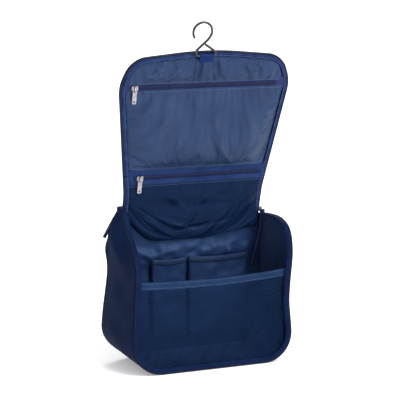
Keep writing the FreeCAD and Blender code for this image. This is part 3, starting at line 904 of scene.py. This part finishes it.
def lid_paths(low, high):
    """The lid's edge between two heights: one run over the top, or one on each side."""
    line = lid_outline()
    if high is None:
        return [line[line[:, 1] >= low - 0.01]]
    rows = max(2, round((high - low) / 2.0))
    return [lid_side(line, side, low, high, rows) for side in (0, 1)]


def lid_frame(path):
    """A run of the lid's edge in the bag's frame, with its outward and forward directions."""
    line = on_lid(path[:, 0], path[:, 1], 0.0)
    run = directions(line)
    front = np.tile(lid_way(0.0, -1.0), (len(line), 1))
    side = unit(np.cross(run, front))
    middle = on_lid(0.0, 130.0, 0.0)
    if np.mean(np.sum(side * (line - middle), axis=1)) < 0:
        side = -side
    return line, side, front


def across_fold(part):
    """The two bodies that a part of the lid joins, and the points where it starts and stops crossing the
    joint.
    """
    first, second, *ends = LID_PARTS[part][2:]
    return [first, second] + [tuple(on_lid(0.0, at, 0.0) * MM) for at in ends]


def make_lid_cover(m):
    """The outer fabric: the back of the bag runs up into the lid."""
    nodes = {"hinge": ["back_outer", "back_foam"],
             "lower": ["lid_root_outer", "lid_root_foam", "lid_shoulder_outer", "lid_shoulder_foam"],
             "upper": ["lid_flap_outer", "lid_flap_foam"]}
    rows = {"hinge": 16, "lower": 30, "upper": 90}
    for part, (low, high, *_) in LID_PARTS.items():
        flat = lid_panel(max(low, 1.0), high, COVER_INSET, rows[part], COVER_COLUMNS)
        points = on_lid(flat[..., 0], flat[..., 1], LID_THICK)
        if part == "hinge":
            back = inside_edge(gusset_points(0.0, 0.0, 0.0, 3)[-1], 80, COVER_COLUMNS)
            points = np.concatenate([back, points])
        a, b = points[..., 0], points[..., 2]
        dents = 0.8 + 2.0 * ripple(a, b, 95.0, 0.9) + 0.8 * ripple(a, b, 42.0, 2.1)
        dents += 2.6 * np.exp(-((b - 232.0) / 9.0) ** 2) - 2.2 * np.exp(-((b - 216.0) / 6.0) ** 2)
        points[..., 1] += dents * np.sin(np.linspace(0, math.pi, COVER_COLUMNS))[None] ** 0.6
        name = "back_panel" if part == "hinge" else "lid_cover_" + part
        made = cloth(name, points, m["outer"], 1.2)
        fit(made, "outer_fabric", across_fold(part), *nodes[part])
        behind = -surface_normals(points)
        lines = [(points[:, at], behind[:, at]) for at in (3, -4)]
        if high is None:
            lines.append((points[-4], behind[-4]))
        sewn = [seam_part(line, out, 0.8) for line, out in lines]
        trim(name + "_stitches", sewn, m["dark_thread"], "outer_fabric", across_fold(part))


def make_lid_edges(m):
    """Rolled outer edge, zip coil, zip tape and stitches round the lid."""
    roll = [(-3.2, -5.9), (-1.2, -5.7), (-0.2, -4.6), (0.0, -3.0), (-0.2, -1.9), (-1.0, -1.6),
            (-1.2, -3.0), (-2.6, -4.8)]
    core = [(-0.3, -1.9), (-0.2, -0.3), (-1.2, 0.3), (-2.5, 0.1), (-2.6, -1.9)]
    tape = [(-2.0, -1.0), (-2.3, 0.1), (-5.0, 0.6), (-8.0, 1.0), (-8.4, 0.2), (-5.0, -0.7)]
    nodes = {"hinge": "root", "lower": "shoulder", "upper": "flap"}
    for part, (low, high, *_) in LID_PARTS.items():
        frames = [lid_frame(path) for path in lid_paths(low, high)]
        layers = {
            "roll": ("outer", "outer_fabric", [sweep_part(*f, roll) for f in frames]),
            "coil": ("coil", "zip_coil", [sweep_part(*f, core) for f in frames]
                     + [teeth_part(f[0] - f[1] * 1.4 - f[2] * 0.1, f[1], f[2], size=(2.8, 1.25, 1.4))
                        for f in frames]),
            "tape": ("edge_tape", "zip_tape", [sweep_part(*f, tape) for f in frames]),
            "stitches": ("thread", "zip_tape", [stitch_part(f[0] - f[1] * 6.8 + f[2] * 1.0, f[1], f[2])
                                                for f in frames]),
        }
        for layer, (look, slot, parts) in layers.items():
            stands_for = [f"lid_{nodes[part]}_edge_{layer}"] if layer in ("coil", "tape") else []
            trim(f"lid_{layer}_{part}", parts, m[look], slot, across_fold(part), *stands_for)


def lining_height(across, up, edge):
    """How far the lid's lining stands in front of the lid before it is draped.
    edge is the distance from the nearest side seam."""
    pocket = smooth(72.0, 120.0, up) * smooth(214.0, 170.0, up)
    out = 1.0 + 6.0 * pocket * smooth(0.0, 30.0, edge) + 1.0 * ripple(across, up, 75.0, 0.2)
    seams = np.exp(-np.abs(up - 213.0) / 8.0) + np.exp(-np.abs(up - 228.0) / 7.0)
    seams = seams + 0.7 * np.exp(-np.abs(up - 88.0) / 8.0)
    out = out + 1.5 * seams * np.sin(across / 2.6 + 1.8 * np.sin(across / 17.0))
    out = out + 1.6 * np.exp(-edge / 8.0) * np.sin(up / 2.6 + 1.6 * np.sin(up / 13.0))
    return folded(out, across, up, LID_FOLDS)


def make_lid_lining(m):
    panels = {
        "middle": (LOWER_ZIP + 12.0, UPPER_ZIP - 4.2, ["lid_shoulder_lining"], 66),
        "top": (UPPER_ZIP + 4.2, None, ["lid_flap_lining"], 30),
    }
    for name, (low, high, nodes, rows) in panels.items():
        flat = lid_panel(low, high, LINING_INSET, rows, LID_COLUMNS)
        across, up = flat[..., 0], flat[..., 1]
        edge = np.minimum(across - across[:, :1], across[:, -1:] - across)
        if high is None:
            edge = np.minimum(edge, up[-1] - up)
        out = 0.9 + pinned(across.shape, 0.5) * lining_height(across, up, edge)
        out = out - 2.2 * np.exp(-edge / 4.0)
        flat_on = on_lid(across, up, -out)
        loose = smooth(0.0, 14.0, up - low)[..., None]
        points = finer(flat_on + loose * (drape(flat_on, 0.02, 8.0) - flat_on))
        normals = surface_normals(points)
        made = cloth("lid_lining_" + name, points, m["lining"], 0.0,
                     normals)
        fit(made, "lining_satin", across_fold("upper"), *nodes)
        seams = {"foot": 3} if high is None else {"foot": 3, "head": -4}
        for seam, row in seams.items():
            seam_stitches(f"lid_{name}_{seam}_stitches", points[row], normals[row], m["thread"], "upper")


def make_lid_zips(m):
    """The two pocket zips: tape and coil."""
    looks = {"upper": (UPPER_ZIP, "lid_flap", "dark_tape", 9.0),
             "lower": (LOWER_ZIP, "lid_shoulder", "tape", 13.5)}
    outline = lid_outline()
    left = outline[:len(outline) // 2]
    count = 160
    up = np.tile(lid_way(1.0, 0.0), (count, 1))
    front = np.tile(lid_way(0.0, -1.0), (count, 1))
    core = [(-2.5, -0.5), (-2.5, 0.2), (2.5, 0.2), (2.5, -0.5)]
    for name, (at, body, look, width) in looks.items():
        half = np.interp(at, left[:, 1], -left[:, 0]) - 6.0
        across = np.linspace(-half, half, 140)
        grid_across, grid_up = np.meshgrid(across, at + np.linspace(-width, width, 14))
        bow = 0.15 * ripple(grid_across, grid_up, 60.0, at)
        tape = cloth(name + "_zip_cloth", on_lid(grid_across, grid_up, -0.35 + bow), m[look], 0.5)
        fit(tape, "zip_tape", [body], name + "_zip_tape")
        line = on_lid(np.linspace(*ZIP_ENDS[name], count), at, -1.2)
        parts = [sweep_part(line, up, front, core)]
        parts += [teeth_part(line + up * side * 1.5, up, front, 1.8, (3.4, 1.3, 1.3)) for side in (-1, 1)]
        trim(name + "_zip_teeth", parts, m["blue_coil"], "zip_coil", [body], name + "_zip_coil")


def make_hook_tab(m):
    """A ribbon that goes round the hook's base and down behind the lining's edge."""
    low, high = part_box("hook_tab")
    left, right = low.x / MM - LID_SHIFT, high.x / MM - LID_SHIFT
    wire, depth, reach = 267.5, -3.5, 2.6
    turn = np.linspace(-0.5 * math.pi, 0.5 * math.pi, 12)
    loop = [(257.0, -1.5), (261.0, -2.6)]
    loop += [(wire + reach * math.cos(t), depth + reach * math.sin(t)) for t in turn]
    loop += [(262.0, -0.6), (257.0, -0.5)]
    line = spaced(loop, 40)
    across = np.linspace(left, right, 24)
    grid_across = np.tile(across, (40, 1))
    up = np.tile(line[:, :1], (1, 24))
    behind = np.tile(line[:, 1:], (1, 24)) + 0.15 * np.sin(grid_across / 2.0)
    made = cloth("hook_ribbon", on_lid(grid_across, up, behind), m["ribbon"], 0.7)
    fit(made, "ribbon", ["lid_flap"], "hook_tab")


def make_pull_tab(name, side, tilt, m):
    """A folded strap on a pull of the long zip."""
    low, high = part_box("main_tab_" + name)
    middle = np.array((low + high) / 2) / MM
    angle = math.radians(tilt)
    down = np.array([side * math.sin(angle), 0.0, -math.cos(angle)])
    out = np.array([side * math.cos(angle), 0.0, math.sin(angle)])
    reach, gap = 17.2, 0.85
    turns = np.linspace(math.pi / 2, -math.pi / 2, 9)
    loop = [(-reach, gap)]
    loop += [(reach - gap + gap * math.cos(t), gap * math.sin(t)) for t in turns]
    loop += [(-reach, -gap)]
    flat = spaced(loop, 60)
    line = middle + flat[:, :1] * down + flat[:, 1:] * out
    across = np.tile([0.0, 1.0, 0.0], (60, 1))
    up = unit(np.cross(directions(line), across))
    section = [(-4.1, -0.35), (-4.1, 0.35), (4.1, 0.35), (4.1, -0.35)]
    trim("pull_strap_" + name, [sweep_part(line, across, up, section)], m["webbing"], "webbing",
         ["main_puller_" + name], "main_tab_" + name)


# ---- stage

def make_stage():
    """A wide pale floor, four soft lamps and an even surround."""
    mesh = bpy.data.meshes.new("floor")
    wide, low = 30.0, -0.0012
    corners = [(-wide, -wide, low), (wide, -wide, low), (wide, wide, low), (-wide, wide, low)]
    mesh.from_pydata(corners, [], [[0, 1, 2, 3]])
    floor = add("floor", mesh)
    white = (0.95, 0.95, 0.95, 1.0)
    paint, *_ = shader("floor_white", 0.9, Specular_IOR_Level=0.1, Base_Color=white,
                       Emission_Color=white, Emission_Strength=0.3)
    mesh.materials.append(paint)
    world = bpy.data.worlds.new("studio")
    scene.world = world
    scene.view_settings.view_transform = "Standard"
    world.use_nodes = True
    sky = world.node_tree.nodes["Background"]
    sky.inputs["Color"].default_value = (1.0, 1.0, 1.0, 1.0)
    sky.inputs["Strength"].default_value = 0.37
    lamps = {"key": ((0.6, -1.0, 1.4), 26.0, 2.5), "front": ((0.37, -0.87, 0.36), 16.0, 0.8),
             "fill": ((-0.5, -0.3, 1.6), 80.0, 0.7), "back": ((0.7, 1.0, 0.8), 30.0, 1.5)}
    for name, (place, softness, power) in lamps.items():
        lamp = bpy.data.lights.new(name, "SUN")
        lamp.angle = math.radians(softness)
        lamp.energy = power
        made = add(name, lamp)
        made.location = place
        made.rotation_euler = (-Vector(place)).to_track_quat("-Z", "Y").to_euler()


def make_camera():
    yaw, pitch, far = math.radians(22.0), math.radians(10.0), 2.2688
    target = Vector((-0.0017, 0.0, 0.249))
    back = Vector((-math.sin(yaw) * math.cos(pitch), -math.cos(yaw) * math.cos(pitch), math.sin(pitch)))
    lens = bpy.data.cameras.new("camera")
    lens.lens = 135.0
    lens.sensor_width = 36.0
    camera = add("camera", lens)
    camera.location = target + back * far
    camera.rotation_euler = (-back).to_track_quat("-Z", "Y").to_euler()
    scene.camera = camera


def dress_cad_nodes(m):
    """Metal parts keep their CAD shape and get a finish."""
    for name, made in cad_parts.items():
        if made.hide_render:
            continue
        look = m["steel"] if name == "hook_wire" else m["nickel"]
        made.data.materials.clear()
        made.data.materials.append(look)


def main():
    make_camera()
    make_stage()
    m = make_materials()
    make_body(m)
    make_inside(m)
    make_lid_cover(m)
    make_lid_edges(m)
    make_hinge_lining(m)
    make_lid_lining(m)
    make_lid_zips(m)
    make_hook_tab(m)
    make_pull_tab("left", -1, 30.0, m)
    make_pull_tab("right", 1, 18.0, m)
    dress_cad_nodes(m)


main()
